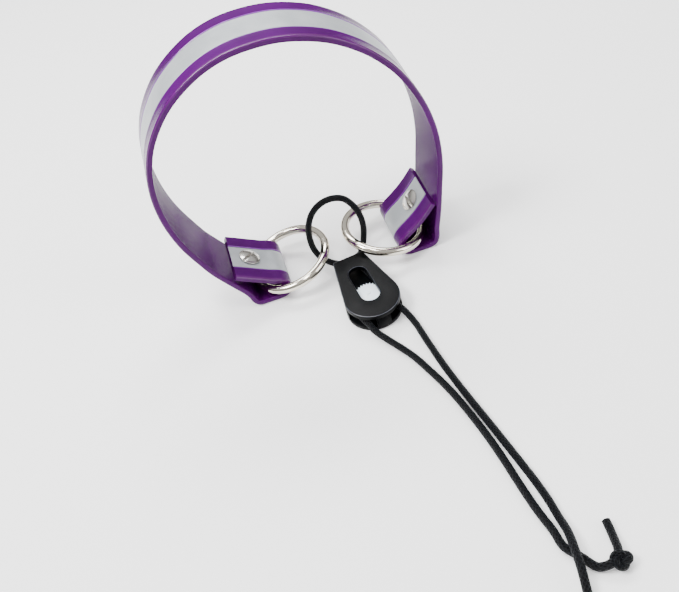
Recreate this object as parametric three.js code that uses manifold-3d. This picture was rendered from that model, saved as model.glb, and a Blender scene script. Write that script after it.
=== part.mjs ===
// Martingale collar: a stiff coated strap standing as an open hoop, its two ends folded inward
// round welded rings and held by two-part screws, an elastic cord through both rings and a flat
// wheel-type cord lock, and two loose cord tails with knots. Millimetres, +Z up.
import * as THREE from 'three';
import { mergeVertices } from 'three/addons/utils/BufferGeometryUtils.js';
import Module from 'manifold-3d';

const wasm = await Module();
wasm.setup();

// ---- driving dimensions ----
const STRAP_W = 25.4;          // one inch webbing
const STRAP_T = 2.3;
const EDGE_C = 0.35;           // chamfer of the strap's edges
const STRIP_W = 12.0;          // reflective strip
const STRIP_T = 0.3;
const GAP = 0.3;               // clearance between touching pieces
const RING_R = 15.6;           // centre line of the ring's wire
const WIRE_R = 1.8;
const RING_TILT = 12;          // degrees, each ring rises towards the middle
const RING_Z = 7.64;
const LEFT_RING_X = -12.8;
const RIGHT_RING_X = 27.3;
const HEAD_R = 4.3;            // screw head
const HEAD_H = 1.25;
const BARREL_R = 2.2;
const BORE_R = 1.75;
const SHANK_R = 1.4;
const FLANGE_R = 4.3;
const FLANGE_H = 1.1;
const CORD_R = 1.3;
const LOCK_POS = [9.0, -10.1];
const LOCK_TURN = 6;           // degrees about +Z
const LOCK_R = 10.8;           // half width and rounded end
const LOCK_LEN = 35;
const LOCK_TOP = 6.6;          // half width of the flat top
const BASE_T = 1.8;
const COVER_Z0 = 6.0;
const COVER_Z1 = 7.8;
const WALL = 1.1;
const SLOT_R = 3.75;
const SLOT_V0 = 10.6;          // slot's end centres along the lock
const SLOT_V1 = 22.6;
const WHEEL_V = 20.5;
const WHEEL_R = 5.3;
const WHEEL_TEETH = 26;

// centre line of the strap (x, z), from the left free end round the hoop to the right free end
const STRAP = [
  [-35.2, 17.9], [-31.9, 15.95], [-28.6, 13.95], [-25.5, 12.1], [-22.4, 10.25], [-18.5, 8.3], [-16.5, 6.0], [-16.7, 3.5],
  [-18.5, 1.7], [-21.0, 1.15], [-23.0, 1.15], [-25.0, 1.15], [-27.0, 1.15], [-28.5, 1.15], [-30.4, 2.05], [-31.4, 4.2],
  [-32.0, 6.6], [-33.4, 9.6], [-35.9, 13.7], [-38.9, 18.7], [-42.0, 24.2], [-44.5, 30.1], [-48.5, 41.2],
  [-50.55, 52.7], [-50.55, 63.8], [-48.6, 73.9], [-44.9, 82.8], [-39.7, 90.2], [-34.5, 95.5], [-27.5, 100.4],
  [-20.0, 104.0], [-12.0, 106.05], [-4.0, 106.5], [4.3, 105.8], [12.2, 103.7], [20.1, 100.3], [27.5, 95.4],
  [33.2, 90.3], [39.3, 82.9], [44.3, 73.8], [48.1, 63.5], [50.3, 52.2], [50.6, 40.2], [49.2, 27.9],
  [48.4, 21.5], [47.3, 14.5], [46.25, 8.8], [45.85, 4.6], [44.9, 2.1], [42.6, 1.15], [40.6, 1.15], [38.6, 1.15],
  [36.6, 1.15], [34.4, 1.25], [31.9, 2.6], [30.8, 5.0], [31.3, 7.4], [33.7, 9.9], [36.7, 12.2], [39.5, 14.6], [41.8, 16.9], [43.9, 19.3], [46.0, 21.9],
];
const LEFT_SCREW = { p: [-28.6, 13.95], up: [0.515, 0.857], cross: [-32.45, 7.6], out: [-0.9, -0.436] };
const RIGHT_SCREW = { p: [41.2, 16.0], up: [-0.75, 0.66], cross: [46.9, 11.0], out: [0.985, -0.17] };

const mats = {
  purple: () => new THREE.MeshStandardMaterial({ color: 0x4b0a6b, roughness: 0.25, metalness: 0 }),
  grey: () => new THREE.MeshStandardMaterial({ color: 0xb4b7ba, roughness: 0.55, metalness: 0.1 }),
  nickel: () => new THREE.MeshStandardMaterial({ color: 0xd8d2c4, roughness: 0.15, metalness: 1 }),
  black: () => new THREE.MeshStandardMaterial({ color: 0x17181b, roughness: 0.6, metalness: 0 }),
  cord: () => new THREE.MeshStandardMaterial({ color: 0x101216, roughness: 0.8, metalness: 0 }),
  white: () => new THREE.MeshStandardMaterial({ color: 0xdfe8ee, roughness: 0.4, metalness: 0 }),
};

// ---- helpers ----
function clean(geo) {
  const g = geo.clone();
  for (const k of Object.keys(g.attributes)) if (k !== 'position') g.deleteAttribute(k);
  return mergeVertices(g, 1e-4);
}
function solid(geo, matrix) {
  const g = clean(geo);
  if (matrix) g.applyMatrix4(matrix);
  let idx = Array.from(g.index.array);
  const p = g.attributes.position.array;
  let vol = 0;
  for (let i = 0; i < idx.length; i += 3) {
    const [a, b, c] = [idx[i] * 3, idx[i + 1] * 3, idx[i + 2] * 3];
    vol += p[a] * (p[b + 1] * p[c + 2] - p[b + 2] * p[c + 1]) - p[a + 1] * (p[b] * p[c + 2] - p[b + 2] * p[c]) + p[a + 2] * (p[b] * p[c + 1] - p[b + 1] * p[c]);
  }
  if (vol < 0) for (let i = 0; i < idx.length; i += 3) [idx[i + 1], idx[i + 2]] = [idx[i + 2], idx[i + 1]];
  return new wasm.Manifold(new wasm.Mesh({ numProp: 3, vertProperties: new Float32Array(p), triVerts: new Uint32Array(idx) }));
}
function geometry(m) {
  const mesh = m.getMesh();
  const g = new THREE.BufferGeometry();
  const n = mesh.numProp;
  const pos = new Float32Array((mesh.vertProperties.length / n) * 3);
  for (let i = 0; i < pos.length / 3; i++) for (let k = 0; k < 3; k++) pos[i * 3 + k] = mesh.vertProperties[i * n + k];
  g.setAttribute('position', new THREE.BufferAttribute(pos, 3));
  g.setIndex(Array.from(mesh.triVerts));
  g.computeVertexNormals();
  return g;
}
// sweeps a section of (offset, y) points along an XZ path; offset is towards the path's left
function sweep(path, section) {
  const pos = [], idx = [], n = section.length, m = path.length;
  for (let i = 0; i < m; i++) {
    const a = path[Math.max(0, i - 1)], b = path[Math.min(m - 1, i + 1)];
    const d = new THREE.Vector2(b[0] - a[0], b[1] - a[1]).normalize();
    for (const [o, y] of section) pos.push(path[i][0] - d.y * o, y, path[i][1] + d.x * o);
  }
  for (let i = 0; i < m - 1; i++) for (let k = 0; k < n; k++) {
    const a = i * n + k, b = i * n + ((k + 1) % n), c = a + n, d = b + n;
    idx.push(a, c, b, b, c, d);
  }
  const tris = THREE.ShapeUtils.triangulateShape(section.map(([x, y]) => new THREE.Vector2(x, y)), []);
  for (const [a, b, c] of tris) { idx.push(a, b, c); idx.push((m - 1) * n + a, (m - 1) * n + c, (m - 1) * n + b); }
  const g = new THREE.BufferGeometry();
  g.setAttribute('position', new THREE.Float32BufferAttribute(pos, 3));
  g.setIndex(idx);
  return g;
}
const flatPoint = (p) => Math.abs(p[1] - 1.15) < 1e-6;
function strapPath() {
  const c = new THREE.CatmullRomCurve3(STRAP.map(([x, z]) => new THREE.Vector3(x, 0, z)), false, 'centripetal');
  const out = [];
  for (let i = 0; i < STRAP.length - 1; i++) {
    const len = Math.hypot(STRAP[i + 1][0] - STRAP[i][0], STRAP[i + 1][1] - STRAP[i][1]);
    const straight = flatPoint(STRAP[i]) && flatPoint(STRAP[i + 1]);
    const bend = STRAP[i][1] < 9 && STRAP[i + 1][1] < 9;
    const k = straight ? 1 : len > 6 || bend ? 2 : 1;
    for (let j = 0; j < k; j++) {
      const t = (i + j / k) / (STRAP.length - 1);
      const p = c.getPoint(t);
      out.push([p.x, Math.max(p.z, STRAP_T / 2)]);
    }
  }
  out.push(STRAP[STRAP.length - 1]);
  return out;
}
const axisMatrix = (origin, dir) => {
  const z = new THREE.Vector3(...dir).normalize();
  const y = new THREE.Vector3(0, 1, 0);
  const x = new THREE.Vector3().crossVectors(y, z).normalize();
  const yy = new THREE.Vector3().crossVectors(z, x);
  return new THREE.Matrix4().makeBasis(x, yy, z).setPosition(...origin);
};
function lathe(profile, seg = 24) {
  const g = new THREE.LatheGeometry(profile.map(([r, z]) => new THREE.Vector2(r, z)), seg);
  g.rotateX(Math.PI / 2);    // lathe axis Y becomes +Z
  return g;
}
const cyl = (r, z0, z1, seg = 24) => lathe([[0, z0], [r, z0], [r, z1], [0, z1]], seg);

const root = new THREE.Group();
function add(name, geo, mat, parent = root) {
  const m = new THREE.Mesh(geo, mat);
  m.name = name;
  parent.add(m);
  return m;
}

// ---- strap and reflective strip ----
const path = strapPath();
const h = STRAP_T / 2, w = STRAP_W / 2, c = EDGE_C, g2 = STRIP_W / 2 + GAP, depth = STRIP_T + GAP;
// the path runs clockwise seen from -Y, so its left side is the hoop's outside
const strapSection = [
  [-h, -w + c], [-h + c, -w], [h - c, -w], [h, -w + c], [h, -g2], [h - depth, -g2], [h - depth, g2], [h, g2],
  [h, w - c], [h - c, w], [-h + c, w], [-h, w - c],
];
const stripSection = [[h - STRIP_T, -STRIP_W / 2], [h, -STRIP_W / 2], [h, STRIP_W / 2], [h - STRIP_T, STRIP_W / 2]];
let strap = solid(sweep(path, strapSection));
let strip = solid(sweep(path, stripSection));

// ---- screws and posts ----
const screws = {};
for (const [side, s] of [['left', LEFT_SCREW], ['right', RIGHT_SCREW]]) {
  const up = [s.up[0], 0, s.up[1]];
  const n = Math.hypot(...up);
  const u = up.map((v) => v / n);
  const M = axisMatrix([s.p[0], 0, s.p[1]], u);
  const L = Math.hypot(s.cross[0] - s.p[0], s.cross[1] - s.p[1]);
  const headZ = h + GAP * 0.5 + 0.05;
  // slotted head, shank down inside the barrel
  let screw = solid(lathe([[0, -L + 1.2], [SHANK_R, -L + 1.2], [SHANK_R, headZ], [HEAD_R - 0.15, headZ], [HEAD_R, headZ + 0.25],
    [HEAD_R - 0.5, headZ + 0.85], [HEAD_R - 1.8, headZ + 1.15], [0, headZ + HEAD_H]], 28), M);
  const slot = new THREE.BoxGeometry(1.25, 2 * HEAD_R + 2, 1.4);
  slot.rotateZ(side === 'left' ? -0.81 : 0.03);
  slot.translate(0, 0, headZ + HEAD_H - 0.75 + 0.7);
  screw = screw.subtract(solid(slot, M));
  const barrelTop = headZ - GAP;
  let barrel = solid(cyl(BARREL_R, -L - h, barrelTop), M);
  const F = axisMatrix([s.cross[0] + s.out[0] * (h + GAP), 0, s.cross[1] + s.out[1] * (h + GAP)], [s.out[0], 0, s.out[1]]);
  const flange = solid(lathe([[0, 0], [FLANGE_R - 0.1, 0], [FLANGE_R, 0.3], [FLANGE_R - 0.5, FLANGE_H - 0.15], [FLANGE_R - 1.4, FLANGE_H], [0, FLANGE_H]], 28), F);
  barrel = barrel.add(flange).subtract(solid(cyl(BORE_R, -L + 0.9, barrelTop + 5), M));
  const hole = solid(cyl(BARREL_R + GAP, -L - h - 2.5, headZ + 3), M);
  const flangeRoom = solid(cyl(FLANGE_R + GAP, -GAP, FLANGE_H + 6), F);
  const headRoom = solid(cyl(HEAD_R + GAP, headZ - GAP, headZ + 4), M);
  strap = strap.subtract(hole).subtract(flangeRoom).subtract(headRoom);
  strip = strip.subtract(hole).subtract(flangeRoom).subtract(headRoom);
  screws[side] = [screw, barrel];
}
const biggest = (m) => m.decompose().sort((a, b) => b.volume() - a.volume())[0];
add('strap', geometry(biggest(strap)), mats.purple());
add('reflective_strip', geometry(biggest(strip)), mats.grey());
for (const side of ['left', 'right']) {
  add(`${side}_screw`, geometry(screws[side][0]), mats.nickel());
  add(`${side}_screw_post`, geometry(screws[side][1]), mats.nickel());
}

// ---- rings ----
for (const [name, x, turn] of [['left_ring', LEFT_RING_X, -RING_TILT], ['right_ring', RIGHT_RING_X, RING_TILT]]) {
  const r = add(name, new THREE.TorusGeometry(RING_R, WIRE_R, 8, 40), mats.nickel());
  r.position.set(x, 0, RING_Z);
  r.rotation.y = THREE.MathUtils.degToRad(turn);
}

// ---- cord lock ----
const lock = new THREE.Group();
lock.position.set(LOCK_POS[0], LOCK_POS[1], 0);
lock.rotation.z = THREE.MathUtils.degToRad(LOCK_TURN);
root.add(lock);
lock.updateMatrixWorld(true);
function outline(inset = 0) {
  // flat top at v = 0, straight sides tangent to the rounded end
  const r = LOCK_R - inset, cv = LOCK_LEN - LOCK_R;
  const P = new THREE.Vector2(LOCK_TOP, 0), C = new THREE.Vector2(0, -cv);
  const d = P.distanceTo(C), base = Math.atan2(P.y - C.y, P.x - C.x), off = Math.acos(LOCK_R / d);
  const a = base - off;
  const pts = [];
  const dir = new THREE.Vector2(Math.cos(a), Math.sin(a));
  const top = new THREE.Vector2(P.x - dir.x * inset, P.y - dir.y * inset);
  pts.push([top.x - 0.5, 0], [top.x, -0.5]);
  const N = 20;
  for (let i = 0; i <= N; i++) {
    const t = a - (i / N) * (Math.PI + 2 * a);
    pts.push([C.x + Math.cos(t) * r, C.y + Math.sin(t) * r]);
  }
  pts.push([-top.x, -0.5], [-top.x + 0.5, 0]);
  return pts;
}
function plate(pts, z0, z1) {
  const g = new THREE.ExtrudeGeometry(new THREE.Shape(pts.map(([x, y]) => new THREE.Vector2(x, y))), { depth: z1 - z0, bevelEnabled: false });
  g.translate(0, 0, z0);
  return solid(g);
}
function stadium(r, v0, v1, z0, z1) {
  const pts = [];
  for (let i = 0; i <= 8; i++) { const t = (i / 8) * Math.PI; pts.push([Math.cos(t) * r, -v0 + Math.sin(t) * r]); }
  for (let i = 0; i <= 8; i++) { const t = Math.PI + (i / 8) * Math.PI; pts.push([Math.cos(t) * r, -v1 + Math.sin(t) * r]); }
  return plate(pts, z0, z1);
}
const box = (x0, x1, y0, y1, z0, z1) => {
  const b = new THREE.BoxGeometry(x1 - x0, y1 - y0, z1 - z0);
  b.translate((x0 + x1) / 2, (y0 + y1) / 2, (z0 + z1) / 2);
  return solid(b);
};
let back = plate(outline(), 0, BASE_T);
const rim = plate(outline(), BASE_T - 0.2, COVER_Z0 - GAP).subtract(plate(outline(WALL), BASE_T - 0.5, COVER_Z0 + 1));
// the rim stays along both sides only: open at the top for the cord's legs and at the round end for its tails
let rails = rim.subtract(box(-5.3, 5.3, -3, 1, 0, 9)).subtract(box(-14, 14, -31.4, -25.5, 0, 9)).subtract(box(-14, -3.2, -36, -25.5, 0, 9)).subtract(box(3.2, 14, -36, -25.5, 0, 9));
back = back.add(rails);
back = back.subtract(stadium(1.1, WHEEL_V - 0.3, WHEEL_V + 3.8, -1, BASE_T + 1));
add('lock_back_shell', geometry(back), mats.black(), lock);
let cover = plate(outline(), COVER_Z0, COVER_Z1).subtract(stadium(SLOT_R, SLOT_V0, SLOT_V1, COVER_Z0 - 1, COVER_Z1 + 1));
add('lock_front_plate', geometry(cover), mats.black(), lock);
// toothed wheel between the plates, on a short axle whose lower end rides in a groove of the back shell
const wheelPts = [];
for (let i = 0; i < WHEEL_TEETH; i++) {
  const a = (i / WHEEL_TEETH) * 2 * Math.PI, s = (2 * Math.PI) / WHEEL_TEETH;
  wheelPts.push([Math.cos(a) * (WHEEL_R - 0.6), Math.sin(a) * (WHEEL_R - 0.6)], [Math.cos(a + s * 0.5) * WHEEL_R, Math.sin(a + s * 0.5) * WHEEL_R]);
}
let wheel = plate(wheelPts, BASE_T + 0.45, COVER_Z0 - 0.35).subtract(solid(cyl(0.8 + GAP, 0, 9, 16)));
const wg = new THREE.Group();
wg.position.set(0, -WHEEL_V, 0);
lock.add(wg);
add('toothed_wheel', geometry(wheel), mats.white(), wg);
add('wheel_axle', geometry(solid(cyl(0.8, 0.4, COVER_Z0 + 0.1, 16))), mats.white(), wg);

// ---- cord ----
const L = (u, v, z) => {
  const t = THREE.MathUtils.degToRad(LOCK_TURN);
  return [LOCK_POS[0] + Math.cos(t) * u + Math.sin(t) * v, LOCK_POS[1] + Math.sin(t) * u - Math.cos(t) * v, z];
};
function cord(points, steps, r = CORD_R) {
  const curve = new THREE.CatmullRomCurve3(points.map((p) => new THREE.Vector3(...p)), false, 'centripetal');
  const sec = new THREE.Shape();
  for (let i = 0; i < 8; i++) { const a = ((i + 0.5) / 8) * 2 * Math.PI; i ? sec.lineTo(Math.cos(a) * r, Math.sin(a) * r) : sec.moveTo(Math.cos(a) * r, Math.sin(a) * r); }
  return new THREE.ExtrudeGeometry(sec, { steps, extrudePath: curve, bevelEnabled: false });
}
const LOOP = [
  L(-6.9, 28.2, 3.9), L(-7.35, 25, 3.9), L(-7.2, 21, 3.9), L(-6.0, 15, 3.9), L(-4.6, 8.5, 3.9), L(-3.5, 2.0, 3.9), L(-3.3, -1.5, 3.8),
  [2.3, -5.2, 3.4], [-0.6, -1.6, 4.3], [-2.3, 0.3, 8.0], [-2.7, 0.9, 13.2], [-1.9, 1.0, 19.4], [0.7, 1.0, 25.2], [4.8, 1.0, 28.7], [9.5, 1.0, 29.5],
  [13.9, 1.0, 27.8], [17.1, 1.0, 23.3], [19.0, 0.9, 17.8], [19.6, 0.7, 12.6], [19.0, 0.1, 7.6], [17.2, -2.6, 4.2], [15.0, -5.9, 3.4],
  L(3.5, -1.5, 3.8), L(3.5, 2.0, 3.9), L(4.6, 8.5, 3.9), L(6.0, 15, 3.9), L(7.2, 21, 3.9), L(7.35, 25, 3.9), L(7.1, 28.2, 3.9),
];
const TAIL_LEFT = [
    L(-6.85, 28.8, 3.9), L(-6.4, 31.0, 3.9), L(-5.5, 34.0, 3.6), L(-5.1, 36.6, 3.1), [16.97, -62.47, 1.42], [20.00, -70.48, 1.42], [22.55, -78.03, 1.42], [24.50, -85.15, 1.42], [26.05, -92.22, 1.42], [27.40, -99.46, 1.42], [28.51, -106.79, 1.42], [29.34, -114.00, 1.42], [29.98, -120.95, 1.42], [30.65, -127.58, 1.42], [31.51, -133.92, 1.42], [32.65, -139.92, 1.42], [33.30, -145.55, 1.42], [36.39, -150.01, 1.42], [39.04, -153.98, 1.42], [41.00, -154.90, 2.40],
];
const TAIL_RIGHT = [
    L(7.05, 28.8, 3.9), L(7.6, 31.0, 3.9), L(8.6, 34.0, 3.5), [23.05, -48.28, 1.42], [23.99, -57.41, 1.42], [24.99, -66.22, 1.42], [26.11, -74.58, 1.42], [27.43, -82.58, 1.42], [28.88, -90.39, 1.42], [30.33, -97.93, 1.42], [31.65, -105.02, 1.42], [32.84, -111.65, 1.42], [33.97, -118.02, 1.42], [35.00, -124.29, 1.42], [35.74, -130.44, 1.42], [36.00, -136.50, 1.60], [36.06, -142.40, 2.80], [35.06, -148.24, 4.30], [34.06, -153.91, 4.50], [32.81, -159.91, 3.00], [31.40, -166.40, 1.60], [30.40, -171.00, 2.20],
];
add('cord_loop', cord(LOOP, 64), mats.cord());
add('cord_tail_left', cord(TAIL_LEFT, 50), mats.cord());
add('cord_tail_right', cord(TAIL_RIGHT, 54), mats.cord());
function knot(name, at, turn) {
  const s = new THREE.SphereGeometry(1, 14, 10);
  s.rotateX(Math.PI / 2);
  s.scale(4.0, 3.3, 3.0);
  const k = add(name, geometry(solid(s)), mats.cord());
  k.position.set(...at);
  k.rotation.z = THREE.MathUtils.degToRad(turn);
}
knot('cord_knot_left', [45.6, -154.9, 3.15], 0);
knot('cord_knot_right', [28.9, -175.8, 3.15], 72);
add('cord_end_left', cord([[46.5, -151.1, 2.6], [47.1, -148.4, 1.8], [47.6, -145.6, 1.3], [47.9, -142.4, 1.3]], 6), mats.cord());
add('cord_end_right', cord([[27.6, -180.0, 2.6], [26.7, -183.0, 1.8], [25.7, -186.0, 1.3], [24.5, -189.2, 1.3]], 6), mats.cord());

// bottom centre of everything except the two free cord tails is the origin
const held = new THREE.Box3();
root.updateMatrixWorld(true);
for (const m of root.children) if (!/^cord_(tail|knot|end)/.test(m.name)) held.expandByObject(m, true);
const mid = held.getCenter(new THREE.Vector3());
root.position.set(-mid.x, -mid.y, -held.min.z);
root.updateMatrixWorld(true);

export default root;
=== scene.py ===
import bpy, bmesh, math
from mathutils import Vector, Matrix, noise


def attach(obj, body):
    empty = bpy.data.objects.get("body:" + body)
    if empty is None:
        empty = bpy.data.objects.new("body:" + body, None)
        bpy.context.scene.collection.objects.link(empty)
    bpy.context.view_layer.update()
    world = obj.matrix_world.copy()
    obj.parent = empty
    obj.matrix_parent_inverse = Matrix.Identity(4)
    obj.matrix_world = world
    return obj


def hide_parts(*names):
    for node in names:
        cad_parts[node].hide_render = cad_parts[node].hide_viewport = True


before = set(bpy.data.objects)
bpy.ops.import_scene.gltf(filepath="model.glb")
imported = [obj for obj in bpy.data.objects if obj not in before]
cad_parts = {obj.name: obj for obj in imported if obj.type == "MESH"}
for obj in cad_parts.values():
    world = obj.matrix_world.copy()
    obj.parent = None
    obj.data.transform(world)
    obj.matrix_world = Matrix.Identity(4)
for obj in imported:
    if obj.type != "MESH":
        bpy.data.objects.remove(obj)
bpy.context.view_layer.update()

SX, SY = 0.0628, 13.7704


def W(p):
    return Vector(((p[0] + SX) / 1000, (p[1] + SY) / 1000, p[2] / 1000))


# ---------------------------------------------------------------- camera
cam_data = bpy.data.cameras.new("camera")
cam = bpy.data.objects.new("camera", cam_data)
bpy.context.scene.collection.objects.link(cam)
fw = Vector((0.0593, 0.6903, -0.7211)).normalized()
rt = Vector((0.9447, -0.2723, -0.1829))
rt = (rt - fw * rt.dot(fw)).normalized()
up = rt.cross(fw)
m = Matrix((rt, up, -fw)).transposed().to_4x4()
m.translation = W((-17.41, -233.83, 221.67))
cam.matrix_world = m
cam_data.lens = 36 * 780 / 679
cam_data.sensor_width = 36
cam_data.clip_start, cam_data.clip_end = 0.005, 20
cam_data.dof.use_dof = False
bpy.context.scene.camera = cam

# ---------------------------------------------------------------- materials


class Mat:
    def __init__(self, name, color, rough=0.4, metal=0.0, **more):
        self.m = bpy.data.materials.new(name)
        self.m.use_nodes = True
        self.t = self.m.node_tree
        self.b = self.t.nodes["Principled BSDF"]
        self.b.inputs["Base Color"].default_value = (*color, 1)
        self.b.inputs["Roughness"].default_value = rough
        self.b.inputs["Metallic"].default_value = metal
        for k, v in more.items():
            self.b.inputs[k.replace("_", " ")].default_value = v

    def n(self, kind, **sets):
        x = self.t.nodes.new(kind)
        for k, v in sets.items():
            if k.startswith("i_"):
                x.inputs[k[2:].replace("_", " ")].default_value = v
            else:
                setattr(x, k, v)
        return x

    def l(self, a, b):
        self.t.links.new(a, b)

    def ramp(self, fac, stops):
        r = self.n("ShaderNodeValToRGB")
        e = r.color_ramp.elements
        while len(e) < len(stops):
            e.new(0.5)
        for el, (p, c) in zip(e, stops):
            el.position, el.color = p, (*c, 1) if len(c) == 3 else c
        self.l(fac, r.inputs["Fac"])
        return r.outputs["Color"]

    def coords(self, which="Object", scale=1.0, xyz=None):
        c = self.n("ShaderNodeTexCoord")
        mp = self.n("ShaderNodeMapping")
        mp.inputs["Scale"].default_value = xyz or (scale, scale, scale)
        self.l(c.outputs[which], mp.inputs["Vector"])
        return mp.outputs["Vector"]

    def noise(self, vec, scale, detail=4, rough=0.55):
        x = self.n("ShaderNodeTexNoise")
        x.inputs["Scale"].default_value = scale
        x.inputs["Detail"].default_value = detail
        x.inputs["Roughness"].default_value = rough
        self.l(vec, x.inputs["Vector"])
        return x.outputs["Fac"]

    def bump(self, fac, dist, strength=1.0, prev=None):
        x = self.n("ShaderNodeBump")
        x.inputs["Distance"].default_value = dist
        x.inputs["Strength"].default_value = strength
        self.l(fac, x.inputs["Height"])
        if prev:
            self.l(prev, x.inputs["Normal"])
        self.l(x.outputs["Normal"], self.b.inputs["Normal"])
        return x.outputs["Normal"]


def srgb(h):
    v = [int(h[i:i + 2], 16) / 255 for i in (1, 3, 5)]
    return tuple(c / 12.92 if c <= 0.04045 else ((c + 0.055) / 1.055) ** 2.4 for c in v)


def coated(name, a, b, rough, coat, rib=False, spec=0.13):
    q = Mat(name, srgb(a), rough)
    v = q.coords("Object", 1000)
    f = q.noise(v, 0.045, 3)
    q.l(q.ramp(f, [(0.3, srgb(a)), (0.72, srgb(b))]), q.b.inputs["Base Color"])
    g = q.noise(v, 0.5, 5)
    r = q.n("ShaderNodeMapRange")
    r.inputs["To Min"].default_value, r.inputs["To Max"].default_value = rough * 0.8, rough * 1.25
    q.l(g, r.inputs["Value"])
    q.l(r.outputs["Result"], q.b.inputs["Roughness"])
    q.b.inputs["Specular IOR Level"].default_value = 0.025 if rib else spec
    q.b.inputs["Coat Weight"].default_value = coat
    q.b.inputs["Coat Roughness"].default_value = 0.12
    q.b.inputs["Coat IOR"].default_value = 1.5
    n = q.bump(q.noise(v, 1.2, 2), 0.00003, 0.2)
    if rib:
        w = q.n("ShaderNodeTexWave", wave_type="BANDS", bands_direction="X", wave_profile="SIN")
        w.inputs["Scale"].default_value = 1.0
        w.inputs["Distortion"].default_value = 0.35
        w.inputs["Detail"].default_value = 2.0
        w.inputs["Detail Scale"].default_value = 0.6
        q.l(q.coords("UV", 1.0, (2.9, 0.35, 1)), w.inputs["Vector"])
        n = q.bump(w.outputs["Fac"], 0.00022, 0.75, n)
    else:
        w = q.n("ShaderNodeTexWave", wave_type="BANDS", bands_direction="X", wave_profile="SIN")
        w.inputs["Scale"].default_value = 1.0
        w.inputs["Distortion"].default_value = 0.8
        q.l(q.coords("UV", 1.0, (2.9, 0.5, 1)), w.inputs["Vector"])
        n = q.bump(w.outputs["Fac"], 0.00002, 0.15, n)
    return q.m


OUTER = coated("coated_outer", "#3b0049", "#470058", 0.24, 0.0)
INNER = coated("coated_inner", "#480057", "#540065", 0.16, 0.0, rib=True)
EDGE = coated("coated_edge", "#3d0048", "#480057", 0.2, 0.0)
# the rounded outer corners are painted a lighter purple than the edge as a painted highlight line, and are also made
# glossier
CORNER_PAINTED_HIGHLIGHT = coated("coated_corner_painted_highlight", "#45004f", "#50005e", 0.12, 0.0, spec=0.6)
# the raised lips beside the tape are painted a lighter lilac: a painted highlight line along both edges of the tape
BEAD_PAINTED_HIGHLIGHT = coated("coated_bead_painted_highlight", "#6d2f8a", "#7c4099", 0.25, 0.4)

st = Mat("reflective_tape", srgb("#a3a7aa"), 0.42, 0.2)
v = st.coords("Object", 1000)
vor = st.n("ShaderNodeTexVoronoi", feature="DISTANCE_TO_EDGE")
vor.inputs["Scale"].default_value = 3.2
st.l(v, vor.inputs["Vector"])
f = st.noise(v, 0.12, 4)
st.l(st.ramp(f, [(0.3, srgb("#989da1")), (0.75, srgb("#abafb2"))]), st.b.inputs["Base Color"])
st.bump(vor.outputs["Distance"], 0.00008, 0.5, None)
st.b.inputs["Coat Weight"].default_value = 0.25
st.b.inputs["Coat Roughness"].default_value = 0.3
TAPE = st.m


def metal(name, color, rough):
    q = Mat(name, srgb(color), rough, 1.0)
    v = q.coords("Object", 1000)
    g = q.noise(v, 0.8, 6)
    r = q.n("ShaderNodeMapRange")
    r.inputs["To Min"].default_value, r.inputs["To Max"].default_value = rough * 0.6, rough * 1.7
    q.l(g, r.inputs["Value"])
    q.l(r.outputs["Result"], q.b.inputs["Roughness"])
    q.bump(q.noise(v, 3.5, 3), 0.00002, 0.35)
    return q.m


NICKEL = metal("nickel_plate", "#ddd6c8", 0.10)
STEEL = metal("nickel_screw", "#d6d3cd", 0.2)

cm = Mat("braided_cord", srgb("#08090b"), 0.45, Specular_IOR_Level=0.1)
cm.b.inputs["Sheen Weight"].default_value = 0.02
cm.b.inputs["Sheen Roughness"].default_value = 0.4
cm.b.inputs["Sheen Tint"].default_value = (0.45, 0.55, 0.75, 1)
uv = cm.coords("UV")
sep = cm.n("ShaderNodeSeparateXYZ")
cm.l(uv, sep.inputs[0])


def strand(sign):
    # u runs along the cord in millimetres, v once round it
    a = cm.n("ShaderNodeMath", operation="MULTIPLY")
    a.inputs[1].default_value = 2 * math.pi * 0.62
    cm.l(sep.outputs[0], a.inputs[0])
    b = cm.n("ShaderNodeMath", operation="MULTIPLY")
    b.inputs[1].default_value = sign * 2 * math.pi * 8
    cm.l(sep.outputs[1], b.inputs[0])
    c = cm.n("ShaderNodeMath", operation="ADD")
    cm.l(a.outputs[0], c.inputs[0]); cm.l(b.outputs[0], c.inputs[1])
    s = cm.n("ShaderNodeMath", operation="SINE")
    cm.l(c.outputs[0], s.inputs[0])
    return s.outputs[0]


mx = cm.n("ShaderNodeMath", operation="MAXIMUM")
cm.l(strand(1), mx.inputs[0]); cm.l(strand(-1), mx.inputs[1])
# colour follows the braid height: crests are painted a lighter blue-grey as a painted highlight, and the grooves
# between strands are darker as painted shade
cm.l(cm.ramp(mx.outputs[0], [(0.0, srgb("#040405")), (0.55, srgb("#060708")), (1.0, srgb("#0d0f13"))]), cm.b.inputs["Base Color"])
nb = cm.bump(mx.outputs[0], 0.00022, 0.8)
cm.bump(cm.noise(cm.coords("Object", 1000), 6.0, 3), 0.00006, 0.5, nb)
CORD = cm.m

lk = Mat("moulded_black", srgb("#050608"), 0.34, Specular_IOR_Level=0.07)
v = lk.coords("Object", 1000)
lk.bump(lk.noise(v, 4.5, 4), 0.00006, 0.55)
g = lk.noise(v, 0.25, 4)
lk.l(lk.ramp(g, [(0.3, srgb("#030405")), (0.75, srgb("#08090b"))]), lk.b.inputs["Base Color"])
LOCK = lk.m
# lighter grey for the rounded rims of the outline and the slot: a painted highlight line, with a glossier finish
RIM_PAINTED_HIGHLIGHT = Mat("moulded_rim_painted_highlight", srgb("#3a3d45"), 0.3, Specular_IOR_Level=0.5).m

wh = Mat("wheel_white", srgb("#dbe7ee"), 0.32)
wh.b.inputs["Subsurface Weight"].default_value = 0.25
wh.b.inputs["Subsurface Radius"].default_value = (0.001, 0.0012, 0.0015)
v = wh.coords("Object", 1000)
wh.bump(wh.noise(v, 3.0, 3), 0.00003, 0.5)
WHEEL = wh.m

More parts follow.
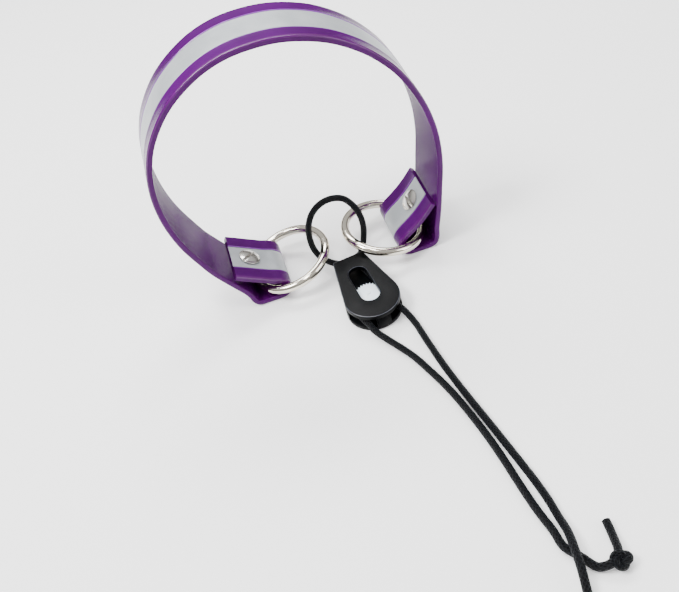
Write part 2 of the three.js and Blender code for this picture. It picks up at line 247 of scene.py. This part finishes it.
fl = Mat("floor", (0.9, 0.9, 0.9), 0.7, Emission_Color=(1, 1, 1, 1), Emission_Strength=0.24)
FLOOR = fl.m
for i in (OUTER, INNER, EDGE, BEAD_PAINTED_HIGHLIGHT, TAPE, NICKEL, STEEL, CORD, LOCK, WHEEL, FLOOR):
    i.use_backface_culling = False

# ---------------------------------------------------------------- mesh helpers


def build(name, verts, faces, mats, smooth=True, face_mat=None, uvs=None, sharp=None):
    me = bpy.data.meshes.new(name)
    me.from_pydata([tuple(x) for x in verts], [], faces)
    for q in mats:
        me.materials.append(q)
    if face_mat:
        for p, k in zip(me.polygons, face_mat):
            p.material_index = k
    if uvs:
        lay = me.uv_layers.new(name="UVMap")
        i = 0
        for fuv in uvs:
            for c in fuv:
                lay.data[i].uv = c
                i += 1
    me.update()
    if len(faces) > 1:
        bm = bmesh.new()
        bm.from_mesh(me)
        bmesh.ops.recalc_face_normals(bm, faces=bm.faces)
        bm.to_mesh(me)
        bm.free()
    for p in me.polygons:
        p.use_smooth = smooth
    if sharp:
        me.set_sharp_from_angle(angle=math.radians(sharp))
    o = bpy.data.objects.new(name, me)
    bpy.context.scene.collection.objects.link(o)
    return o


def spline(pts, step, closed=False):
    """Centripetal Catmull-Rom through pts, resampled at about step (mm)."""
    P = [Vector(p) for p in pts]
    if closed:
        ctrl = [P[-1]] + P + [P[0], P[1]]
        segs = len(P)
    else:
        ctrl = [P[0] * 2 - P[1]] + P + [P[-1] * 2 - P[-2]]
        segs = len(P) - 1
    dense = []
    for i in range(segs):
        p0, p1, p2, p3 = ctrl[i:i + 4]
        t0 = 0.0
        t1 = t0 + max((p1 - p0).length ** 0.5, 1e-4)
        t2 = t1 + max((p2 - p1).length ** 0.5, 1e-4)
        t3 = t2 + max((p3 - p2).length ** 0.5, 1e-4)
        for k in range(24):
            t = t1 + (t2 - t1) * k / 24
            a1 = p0 * ((t1 - t) / (t1 - t0)) + p1 * ((t - t0) / (t1 - t0))
            a2 = p1 * ((t2 - t) / (t2 - t1)) + p2 * ((t - t1) / (t2 - t1))
            a3 = p2 * ((t3 - t) / (t3 - t2)) + p3 * ((t - t2) / (t3 - t2))
            b1 = a1 * ((t2 - t) / (t2 - t0)) + a2 * ((t - t0) / (t2 - t0))
            b2 = a2 * ((t3 - t) / (t3 - t1)) + a3 * ((t - t1) / (t3 - t1))
            dense.append(b1 * ((t2 - t) / (t2 - t1)) + b2 * ((t - t1) / (t2 - t1)))
    dense.append(P[0].copy() if closed else P[-1].copy())
    d = [0.0]
    for a, b in zip(dense, dense[1:]):
        d.append(d[-1] + (b - a).length)
    n = max(2, round(d[-1] / step))
    out, j = [], 0
    for i in range(n if closed else n + 1):
        s = d[-1] * i / n
        while j < len(d) - 2 and d[j + 1] < s:
            j += 1
        q = (s - d[j]) / max(d[j + 1] - d[j], 1e-9)
        out.append(dense[j].lerp(dense[j + 1], min(max(q, 0), 1)))
    return out, d[-1]


def tube(name, pts, radius, step=0.35, seg=28, closed=False, braid=0.05, mat=None, squash=None):
    path, length = spline(pts, step, closed)
    for p in path:
        p.z = max(p.z, radius + 0.02)
    n = len(path)
    tang = []
    for i in range(n):
        a = path[(i - 1) % n] if closed or i else path[0]
        b = path[(i + 1) % n] if closed or i < n - 1 else path[-1]
        tang.append((b - a).normalized())
    u = tang[0].cross(Vector((0, 0, 1)))
    if u.length < 0.1:
        u = tang[0].cross(Vector((0, 1, 0)))
    u.normalize()
    verts, faces, uvs = [], [], []
    us = [u]
    for i in range(1, n):
        u = us[-1] - tang[i] * us[-1].dot(tang[i])
        us.append(u.normalized())
    twist = 0.0
    if closed:
        e = us[-1] - tang[0] * us[-1].dot(tang[0])
        e.normalize()
        twist = math.atan2(e.cross(us[0]).dot(tang[0]), e.dot(us[0]))
    for i in range(n):
        w = tang[i].cross(us[i])
        s = length * i / (n if closed else n - 1)
        for k in range(seg):
            a = 2 * math.pi * k / seg
            h = max(math.sin(2 * math.pi * 0.62 * s + 8 * a), math.sin(2 * math.pi * 0.62 * s - 8 * a)) if braid else 0
            r = radius + braid * (h - 1) * 0.5
            b = a + twist * i / n
            verts.append(W(path[i] + us[i] * (math.cos(b) * r) + w * (math.sin(b) * r)))
    rows = n if closed else n - 1
    for i in range(rows):
        j = (i + 1) % n
        s0, s1 = length * i / rows, length * (i + 1) / rows
        for k in range(seg):
            l = (k + 1) % seg
            faces.append((i * seg + k, i * seg + l, j * seg + l, j * seg + k))
            uvs.append(((s0, k / seg), (s0, (k + 1) / seg), (s1, (k + 1) / seg), (s1, k / seg)))
    if not closed:
        for end, flip in ((0, True), (n - 1, False)):
            c = len(verts)
            out = (-tang[0] if flip else tang[-1]) * 0.35
            verts.append(W(path[end] + out))
            for k in range(seg):
                l = (k + 1) % seg
                a, b = end * seg + k, end * seg + l
                faces.append((b, a, c) if flip else (a, b, c))
                uvs.append(((0, 0), (0, 0.1), (0.1, 0)))
    return build(name, verts, faces, [mat or CORD], uvs=uvs), path, length


def L(u, v, z):
    t = math.radians(6)
    return (9.0 + math.cos(t) * u + math.sin(t) * v, -10.1 + math.sin(t) * u - math.cos(t) * v, z)


# ---------------------------------------------------------------- cords
LOOP = [
    L(-6.9, 28.2, 3.9), L(-7.35, 25, 3.9), L(-7.2, 21, 3.9), L(-6.0, 15, 3.9), L(-4.6, 8.5, 3.9), L(-3.5, 2.0, 3.9), L(-3.3, -1.5, 3.8),
    (2.3, -5.2, 3.4), (-0.6, -1.6, 4.3), (-2.3, 0.3, 8.0), (-2.7, 0.9, 13.2), (-1.9, 1.0, 19.4), (0.7, 1.0, 25.2), (4.8, 1.0, 28.7), (9.5, 1.0, 29.5),
    (13.9, 1.0, 27.8), (17.1, 1.0, 23.3), (19.0, 0.9, 17.8), (19.6, 0.7, 12.6), (19.0, 0.1, 7.6), (17.2, -2.6, 4.2), (15.0, -5.9, 3.4),
    L(3.5, -1.5, 3.8), L(3.5, 2.0, 3.9), L(4.6, 8.5, 3.9), L(6.0, 15, 3.9), L(7.2, 21, 3.9), L(7.35, 25, 3.9), L(7.1, 28.2, 3.9),
]
TAIL_LEFT = [
    L(-6.85, 28.8, 3.9), L(-6.4, 31.0, 3.9), L(-5.5, 34.0, 3.6), L(-5.1, 36.6, 3.1), (16.97, -62.47, 1.42), (20.00, -70.48, 1.42), (22.55, -78.03, 1.42), (24.50, -85.15, 1.42), (26.05, -92.22, 1.42), (27.40, -99.46, 1.42), (28.51, -106.79, 1.42), (29.34, -114.00, 1.42), (29.98, -120.95, 1.42), (30.65, -127.58, 1.42), (31.51, -133.92, 1.42), (32.65, -139.92, 1.42), (33.30, -145.55, 1.42), (36.39, -150.01, 1.42), (39.04, -153.98, 1.42), (41.00, -154.90, 2.40),
]
TAIL_RIGHT = [
    L(7.05, 28.8, 3.9), L(7.6, 31.0, 3.9), L(8.6, 34.0, 3.5), (23.05, -48.28, 1.42), (23.99, -57.41, 1.42), (24.99, -66.22, 1.42), (26.11, -74.58, 1.42), (27.43, -82.58, 1.42), (28.88, -90.39, 1.42), (30.33, -97.93, 1.42), (31.65, -105.02, 1.42), (32.84, -111.65, 1.42), (33.97, -118.02, 1.42), (35.00, -124.29, 1.42), (35.74, -130.44, 1.42), (36.00, -136.50, 1.60), (36.06, -142.40, 2.80), (35.06, -148.24, 4.30), (34.06, -153.91, 4.50), (32.81, -159.91, 3.00), (31.40, -166.40, 1.60), (30.40, -171.00, 2.20),
]
loop, _, _ = tube("elastic_loop", LOOP, 1.3)
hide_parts("cord_loop"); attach(loop, "collar")


def knot(name, at, turn, tilt=0.0):
    pts = []
    t, ti = math.radians(turn), math.radians(tilt)
    for i in range(48):
        a = 2 * math.pi * i / 48
        r = 1.35 + 0.62 * math.cos(3 * a)
        x, y, z = 1.22 * r * math.cos(2 * a), 0.98 * r * math.sin(2 * a), -0.85 * math.sin(3 * a)
        y, z = y * math.cos(ti) - z * math.sin(ti), y * math.sin(ti) + z * math.cos(ti)
        pts.append((at[0] + x * math.cos(t) - y * math.sin(t), at[1] + x * math.sin(t) + y * math.cos(t), at[2] + z))
    return tube(name, pts, 1.12, 0.25, 28, True)[0]


END_LEFT = [(45.9, -153.0, 3.2), (46.5, -151.1, 2.8), (47.1, -148.4, 1.9), (47.6, -145.6, 1.3), (47.9, -142.4, 1.3)]
END_RIGHT = [(28.4, -177.6, 3.2), (27.6, -180.0, 2.7), (26.7, -183.0, 1.8), (25.7, -186.0, 1.3), (24.5, -189.2, 1.3)]
for side, pts, at, turn, end in (
    ("left", TAIL_LEFT + [(43.4, -154.9, 3.0)], (45.6, -154.9, 2.75), 10, END_LEFT),
    ("right", TAIL_RIGHT + [(29.5, -173.9, 2.9)], (28.9, -175.8, 2.75), 78, END_RIGHT),
):
    t, path, length = tube("cord_" + side, pts, 1.3)
    k = knot("knot_" + side, at, turn, 8)
    e, _, _ = tube("short_end_" + side, end, 1.28)
    for o, node in ((t, "cord_tail_" + side), (k, "cord_knot_" + side), (e, "cord_end_" + side)):
        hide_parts(node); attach(o, "collar")

# ---------------------------------------------------------------- strap and strip
STRAP = [
    (-35.2, 17.9), (-31.9, 15.95), (-28.6, 13.95), (-25.5, 12.1), (-22.4, 10.25), (-18.5, 8.3), (-16.5, 6.0), (-16.7, 3.5),
    (-18.5, 1.7), (-21.0, 1.15), (-23.0, 1.15), (-25.0, 1.15), (-27.0, 1.15), (-28.5, 1.15), (-30.4, 2.05), (-31.4, 4.2),
    (-32.0, 6.6), (-33.4, 9.6), (-35.9, 13.7), (-38.9, 18.7), (-42.0, 24.2), (-44.5, 30.1), (-48.5, 41.2),
    (-50.55, 52.7), (-50.55, 63.8), (-48.6, 73.9), (-44.9, 82.8), (-39.7, 90.2), (-34.5, 95.5), (-27.5, 100.4),
    (-20.0, 104.0), (-12.0, 106.05), (-4.0, 106.5), (4.3, 105.8), (12.2, 103.7), (20.1, 100.3), (27.5, 95.4),
    (33.2, 90.3), (39.3, 82.9), (44.3, 73.8), (48.1, 63.5), (50.3, 52.2), (50.6, 40.2), (49.2, 27.9),
    (48.4, 21.5), (47.3, 14.5), (46.25, 8.8), (45.85, 4.6), (44.9, 2.1), (42.6, 1.15), (40.6, 1.15), (38.6, 1.15),
    (36.6, 1.15), (34.4, 1.25), (31.9, 2.6), (30.8, 5.0), (31.3, 7.4), (33.7, 9.9), (36.7, 12.2), (39.5, 14.6), (41.8, 16.9), (43.9, 19.3), (46.0, 21.9),
]
H, HW, SW = 1.15, 12.7, 6.0
spath, slen = spline([(x, 0, z) for x, z in STRAP], 0.7)
for p in spath:
    p.z = max(p.z, H)


def sweep(name, section, closed_section, mats, smooth_angle=35):
    """section: (offset, y, material) points; the face after a point takes its material."""
    n, q = len(section), len(spath)
    verts, faces, fm, uvs = [], [], [], []
    for i in range(q):
        a, b = spath[max(0, i - 1)], spath[min(q - 1, i + 1)]
        d = (b - a).normalized()
        nx, nz = -d.z, d.x
        for o, y, _ in section:
            verts.append(W((spath[i].x + nx * o, y, max(spath[i].z + nz * o, 0.0))))
    acc = [0.0]
    for k in range(n):
        a, b = section[k], section[(k + 1) % n]
        acc.append(acc[-1] + math.hypot(a[0] - b[0], a[1] - b[1]))
    for i in range(q - 1):
        s0, s1 = slen * i / (q - 1), slen * (i + 1) / (q - 1)
        for k in range(n):
            l = (k + 1) % n
            faces.append((i * n + k, (i + 1) * n + k, (i + 1) * n + l, i * n + l))
            fm.append(section[k][2])
            uvs.append(((s0, acc[k]), (s1, acc[k]), (s1, acc[k + 1]), (s0, acc[k + 1])))
    for end in (0, q - 1):
        f = [end * n + k for k in range(n)]
        if end:
            f.reverse()
        faces.append(tuple(f)); fm.append(2 if len(mats) > 2 else 0)
        uvs.append(tuple((0, 0) for _ in f))
    return build(name, verts, faces, mats, face_mat=fm, uvs=uvs, sharp=smooth_angle)


R = 0.5
HI = 1.04
sec = []


def arc(co, cy, a0, a1, mat, n=5):
    for i in range(n + 1):
        a = math.radians(a0 + (a1 - a0) * i / n)
        sec.append((co + math.cos(a) * R, cy + math.sin(a) * R, mat))


# inner face is at -H, outer at +H; the section runs round from the inner far edge
g = SW + 0.22
for y in (12.0, 8, 4, 0, -4, -8, -12.0):
    sec.append((-HI, y, 1))
arc(-HI + R, -HW + R, 180, 270, 2)
# material 4 on the outer corners is the painted highlight line
arc(H - R, -HW + R, -90, 0, 4)
# material 3 on the lips beside the tape groove is the painted highlight line
sec += [(H, -11.4, 0), (H, -9.6, 0), (H, -g - 0.75, 0), (H + 0.05, -g - 0.5, 3), (H + 0.05, -g - 0.2, 3), (H - 0.1, -g, 2), (H - 0.5, -g, 2),
        (H - 0.5, g, 2), (H - 0.1, g, 3), (H + 0.05, g + 0.2, 3), (H + 0.05, g + 0.5, 0), (H, g + 0.75, 0), (H, 9.6, 0), (H, 11.4, 0)]
arc(H - R, HW - R, 0, 90, 4)
arc(-HI + R, HW - R, 90, 180, 2)
strap = sweep("coated_strap", sec, True, [OUTER, INNER, EDGE, BEAD_PAINTED_HIGHLIGHT, CORNER_PAINTED_HIGHLIGHT])
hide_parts("strap"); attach(strap, "collar")
tsec = [(H - 0.4, -SW, 0), (H - 0.12, -SW, 0), (H - 0.02, -SW + 0.12, 0)] + [(H, y, 0) for y in (-5, -2.5, 0, 2.5, 5)] + [(H - 0.02, SW - 0.12, 0), (H - 0.12, SW, 0), (H - 0.4, SW, 0)]
tape = sweep("reflective_tape", tsec, True, [TAPE])
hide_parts("reflective_strip"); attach(tape, "collar")

# ---------------------------------------------------------------- rings
for side, x, tilt in (("left", -12.8, -12), ("right", 27.3, 12)):
    verts, faces = [], []
    N, K = 160, 32
    c, s = math.cos(math.radians(tilt)), math.sin(math.radians(tilt))
    for i in range(N):
        a = 2 * math.pi * i / N
        weld = math.exp(-((a - math.pi) / 0.035) ** 2) * (0.05 + 0.03 * math.sin(9 * a))
        for k in range(K):
            b = 2 * math.pi * k / K
            r = 1.8 + weld
            px, py, pz = (15.6 + math.cos(b) * r) * math.cos(a if side == "right" else math.pi - a), (15.6 + math.cos(b) * r) * math.sin(a), math.sin(b) * r
            verts.append(W((x + px * c + pz * s, py, 7.64 - px * s + pz * c)))
    for i in range(N):
        j = (i + 1) % N
        for k in range(K):
            l = (k + 1) % K
            q = (i * K + k, i * K + l, j * K + l, j * K + k)
            faces.append(tuple(reversed(q)) if side == "right" else q)
    r = build("welded_ring_" + side, verts, faces, [NICKEL])
    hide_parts(side + "_ring"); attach(r, side + "_ring_body")

# ---------------------------------------------------------------- screws


def lathe(name, prof, M, mat, seg=64, parts=None):
    verts, faces = [], []
    for r, z in prof:
        for k in range(seg):
            a = 2 * math.pi * k / seg
            verts.append(M @ Vector((math.cos(a) * r, math.sin(a) * r, z)))
    for i in range(len(prof) - 1):
        for k in range(seg):
            l = (k + 1) % seg
            faces.append((i * seg + k, i * seg + l, (i + 1) * seg + l, (i + 1) * seg + k))
    faces.append(tuple(range(seg))[::-1])
    faces.append(tuple((len(prof) - 1) * seg + k for k in range(seg)))
    return build(name, [W(v) for v in verts], faces, [mat], sharp=40)


def basis(p, d):
    z = Vector((d[0], 0, d[1])).normalized()
    x = Vector((0, 1, 0)).cross(z).normalized()
    y = z.cross(x)
    mm = Matrix((x, y, z)).transposed().to_4x4()
    mm.translation = Vector((p[0], 0, p[1]))
    return mm


def cut(obj, tool):
    md = obj.modifiers.new("cut", "BOOLEAN")
    md.object, md.operation, md.solver = tool, "DIFFERENCE", "EXACT"
    dg = bpy.context.evaluated_depsgraph_get()
    me = bpy.data.meshes.new_from_object(obj.evaluated_get(dg))
    obj.modifiers.clear()
    obj.data = me
    bpy.data.objects.remove(tool, do_unlink=True)
    for p in me.polygons:
        p.use_smooth = True
    me.set_sharp_from_angle(angle=math.radians(35))


def bevel(obj, w, seg=3, angle=35):
    md = obj.modifiers.new("bevel", "BEVEL")
    md.width, md.segments, md.limit_method = w, seg, "ANGLE"
    md.angle_limit = math.radians(angle)
    md.harden_normals = False
    dg = bpy.context.evaluated_depsgraph_get()
    me = bpy.data.meshes.new_from_object(obj.evaluated_get(dg))
    obj.modifiers.clear()
    obj.data = me
    for p in me.polygons:
        p.use_smooth = True
    me.set_sharp_from_angle(angle=math.radians(40))


SLOT_TURN = {"left": -0.81, "right": 0.03}
for side, p, d, cr, out in (
    ("left", (-28.6, 13.95), (0.515, 0.857), (-32.45, 7.6), (-0.9, -0.436)),
    ("right", (41.2, 16.0), (-0.75, 0.66), (46.9, 11.0), (0.985, -0.17)),
):
    M = basis(p, d)
    Lc = math.hypot(cr[0] - p[0], cr[1] - p[1])
    hz = H + 0.2
    prof = [(1.4, -Lc + 1.2), (1.4, hz), (3.9, hz), (4.2, hz + 0.1), (4.3, hz + 0.3), (4.25, hz + 0.5)]
    for i in range(9):
        a = math.radians(28 + 62 * i / 8)
        prof.append((max(4.55 * math.cos(a) + 0.08, 0.02), hz + 0.5 + (math.sin(a) - math.sin(math.radians(28))) * 1.5))
    prof[-1] = (0.02, prof[-1][1])
    s = lathe("slotted_screw_" + side, prof, M, STEEL)
    top = prof[-1][1]
    a = SLOT_TURN[side]
    bx = []
    for z in (top - 1.0, top + 1):
        for x, y in ((-0.65, -6), (0.65, -6), (0.65, 6), (-0.65, 6)):
            bx.append(W(M @ Vector((x * math.cos(a) - y * math.sin(a), x * math.sin(a) + y * math.cos(a), z))))
    tool = build("tool", bx, [(3, 2, 1, 0), (4, 5, 6, 7), (0, 1, 5, 4), (1, 2, 6, 5), (2, 3, 7, 6), (3, 0, 4, 7)], [STEEL], smooth=False)
    cut(s, tool)
    bevel(s, 0.00008, 2, 40)
    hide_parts(side + "_screw"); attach(s, "collar")
    F = basis((cr[0] + out[0] * (H + 0.3), cr[1] + out[1] * (H + 0.3)), out)
    b = lathe("post_" + side, [(1.75, -Lc + 0.9), (1.75, hz - 0.45), (2.2, hz - 0.45), (2.2, -Lc - 0.9), (0.5, -Lc - 0.9), (0.5, -Lc + 0.9)], M, STEEL, 48)
    fl2 = lathe("post_flange_" + side, [(4.1, -0.25), (4.3, -0.1), (4.34, 0.3), (4.2, 0.6), (3.8, 0.86), (3.0, 1.04), (1.5, 1.1), (0.02, 1.12)], F, STEEL, 64)
    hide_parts(side + "_screw_post"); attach(b, "collar")
    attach(fl2, "collar")

# ---------------------------------------------------------------- cord lock
TOP, LR, LEN = 6.6, 10.8, 35.0


def outline(inset=0.0, n=44):
    cv = LEN - LR
    dd = math.hypot(TOP, cv)
    a = math.atan2(cv, TOP) - math.acos(LR / dd)
    r = LR - inset
    dx, dy = math.cos(a), math.sin(a)
    tx = TOP - dx * inset
    pts = []
    for i in range(7):      # rounded shoulder
        q = math.radians(90 - 82 * i / 6)
        pts.append((tx - 0.6 + 0.6 * math.cos(q), -inset - 0.6 + 0.6 * math.sin(q)))
    for i in range(n + 1):
        t = a - (i / n) * (math.pi + 2 * a)
        pts.append((math.cos(t) * r, -cv + math.sin(t) * r))
    pts += [(-x, y) for x, y in pts[:7]][::-1]
    return pts


def prism(name, pts, z0, z1, mat, world=True):
    n = len(pts)
    verts = [W(L(x, -y, z0)) for x, y in pts] + [W(L(x, -y, z1)) for x, y in pts]
    faces = [tuple(range(n)), tuple(range(n, 2 * n))[::-1]]
    for k in range(n):
        l = (k + 1) % n
        faces.append((k, n + k, n + l, l))
    return build(name, verts, faces, [mat], smooth=False)


def stadium(r, v0, v1, n=24):
    p = []
    for i in range(n + 1):
        t = math.pi * i / n
        p.append((math.cos(t) * r, -v0 + math.sin(t) * r))
    for i in range(n + 1):
        t = math.pi + math.pi * i / n
        p.append((math.cos(t) * r, -v1 + math.sin(t) * r))
    return p


def rect(x0, x1, y0, y1):
    return [(x0, y0), (x1, y0), (x1, y1), (x0, y1)][::-1]


def polar(pts, n=200, centre=(0.0, -16.6)):
    """the outline's points at n equal angles about centre"""
    out = []
    for i in range(n):
        a = 2 * math.pi * i / n
        dx, dy = math.cos(a), math.sin(a)
        best = None
        for p, q in zip(pts, pts[1:] + pts[:1]):
            px, py, qx, qy = p[0] - centre[0], p[1] - centre[1], q[0] - centre[0], q[1] - centre[1]
            ex, ey = qx - px, qy - py
            den = dx * ey - dy * ex
            if abs(den) < 1e-12:
                continue
            t = (px * ey - py * ex) / den
            w = (px * dy - py * dx) / den
            if t > 0 and -1e-9 <= w <= 1 + 1e-9 and (best is None or t > best):
                best = t
        out.append((centre[0] + dx * best, centre[1] + dy * best))
    return out


def rings(name, rows, mat, closed=True, caps=False, pick=None):
    """rows: [(points, z)], joined in order; closed joins the last row to the first"""
    n = len(rows[0][0])
    verts, faces = [], []
    for pts, z in rows:
        verts += [W(L(x, -y, z)) for x, y in pts]
    m = len(rows)
    idx = list(range(n)) if pick is None else pick
    for r in range(m if closed else m - 1):
        q = (r + 1) % m
        for k in (idx if pick is None else idx[:-1]):
            l = (k + 1) % n
            faces.append((r * n + k, r * n + l, q * n + l, q * n + k))
    if caps:
        faces.append(tuple(range(n)))
        faces.append(tuple((m - 1) * n + k for k in range(n)))
    if pick is not None:
        for k in (idx[0], idx[-1]):
            faces.append(tuple(r * n + k for r in range(m)))
        used = sorted({v for f in faces for v in f})
        new = {v: i for i, v in enumerate(used)}
        verts = [verts[v] for v in used]
        faces = [tuple(new[v] for v in f) for f in faces]
    return build(name, verts, faces, [mat], sharp=50)


def rnd(z0, z1, b, make, top=True, steps=5):
    """rows of an edge rounded by b at z1, from z0 upwards"""
    rows = [(make(0.0), z0)]
    for i in range(steps + 1):
        a = math.pi / 2 * i / steps
        rows.append((make(b * (1 - math.cos(a))), z1 - b + b * math.sin(a)))
    return rows


outer = rnd(6.0, 7.8, 0.42, lambda i: polar(outline(i)))
inner = rnd(6.0, 7.8, 0.38, lambda i: polar(stadium(3.75 + i, 10.6, 22.6)))
cover = rings("lock_front", outer + inner[::-1], LOCK)
cover.data.materials.append(RIM_PAINTED_HIGHLIGHT)
# the middle bands of both roundings take the painted highlight material
for p in list(cover.data.polygons)[3 * 200:5 * 200] + list(cover.data.polygons)[9 * 200:11 * 200]:
    p.material_index = 1
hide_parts("lock_front_plate"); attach(cover, "lock")
base = [(polar(outline(0.35)), 0.0), (polar(outline(0.1)), 0.1), (polar(outline(0.0)), 0.35), (polar(outline(0.0)), 1.62), (polar(outline(0.06)), 1.75), (polar(outline(0.2)), 1.8)]
shell = rings("lock_back", base, LOCK, closed=False, caps=True)
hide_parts("lock_back_shell"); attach(shell, "lock")
o0, o1 = polar(outline(0.0)), polar(outline(1.1))
om, oi = polar(outline(0.15)), polar(outline(0.95))
rows = [(o0, 1.7), (o0, 5.55), (om, 5.7), (oi, 5.7), (o1, 5.55), (o1, 1.7)]
side = {"l": [], "r": [], "e": []}
for k, (x, y) in enumerate(o0):
    if x > 5.3 and y > -25.5:
        side["r"].append(k)
    if x < -5.3 and y > -25.5:
        side["l"].append(k)
    if abs(x) < 3.2 and y < -30:
        side["e"].append(k)
side["r"] = sorted(side["r"], key=lambda k: (k + 100) % 200)
for key, ks in side.items():
    piece = rings("lock_rail_" + key, rows, LOCK, pick=ks)
    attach(piece, "lock")

T = 26
wp = []
for i in range(T):
    for f, r in ((0.0, 4.5), (0.22, 4.62), (0.38, 5.26), (0.62, 5.26), (0.78, 4.62)):
        a = 2 * math.pi * (i + f) / T
        wp.append((math.cos(-a) * r, -20.5 + math.sin(-a) * r))
wheel = prism("toothed_disc", wp, 2.25, 5.75, WHEEL)
bevel(wheel, 0.00018, 3, 40)
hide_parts("toothed_wheel"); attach(wheel, "wheel")
ax = [(math.cos(-2 * math.pi * i / 32) * 0.8, -20.5 + math.sin(-2 * math.pi * i / 32) * 0.8) for i in range(32)]
axle = prism("axle_pin", ax, 0.4, 6.1, WHEEL)
bevel(axle, 0.00015, 3, 40)
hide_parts("wheel_axle"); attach(axle, "axle")

# ---------------------------------------------------------------- stage
floor = build("floor", [(-3, -3, -0.0002), (3, -3, -0.0002), (3, 3, -0.0002), (-3, 3, -0.0002)], [(0, 1, 2, 3)], [FLOOR], smooth=False)
def area(name, loc, target, size, power, color=(1, 1, 1)):
    d = bpy.data.lights.new(name, "AREA")
    d.shape, d.size, d.size_y, d.energy, d.color = "RECTANGLE", size[0], size[1], power, color
    o = bpy.data.objects.new(name, d)
    bpy.context.scene.collection.objects.link(o)
    o.location = loc
    o.rotation_mode = "QUATERNION"
    o.rotation_quaternion = (Vector(target) - Vector(loc)).to_track_quat("-Z", "Y")
    return o


area("key", (-0.5, -0.05, 0.8), (0, 0, 0.04), (0.35, 0.3), 13.0)
area("top", (0.05, 0.5, 0.75), (0, 0, 0.05), (0.7, 0.22), 8.0)
area("over", (-0.12, -0.03, 0.85), (0, 0, 0.05), (0.6, 0.1), 5.0)
area("fill", (0.7, -0.5, 0.5), (0, 0, 0.04), (0.4, 0.6), 4.0)

world = bpy.data.worlds.new("studio")
bpy.context.scene.world = world
world.use_nodes = True
wt = world.node_tree
bg = wt.nodes["Background"]
tc = wt.nodes.new("ShaderNodeTexCoord")
sx = wt.nodes.new("ShaderNodeSeparateXYZ")
wt.links.new(tc.outputs["Generated"], sx.inputs[0])
rp = wt.nodes.new("ShaderNodeValToRGB")
e = rp.color_ramp.elements
e[0].position, e[0].color = 0.50, (0.05, 0.035, 0.03, 1)
e[1].position, e[1].color = 0.74, (1.0, 1.0, 1.0, 1)
k = e.new(0.58)
k.color = (0.16, 0.14, 0.13, 1)
mr = wt.nodes.new("ShaderNodeMapRange")
mr.inputs["From Min"].default_value, mr.inputs["From Max"].default_value = -1, 1
wt.links.new(sx.outputs[2], mr.inputs["Value"])
wt.links.new(mr.outputs["Result"], rp.inputs["Fac"])
wt.links.new(rp.outputs["Color"], bg.inputs["Color"])
bg.inputs["Strength"].default_value = 0.7
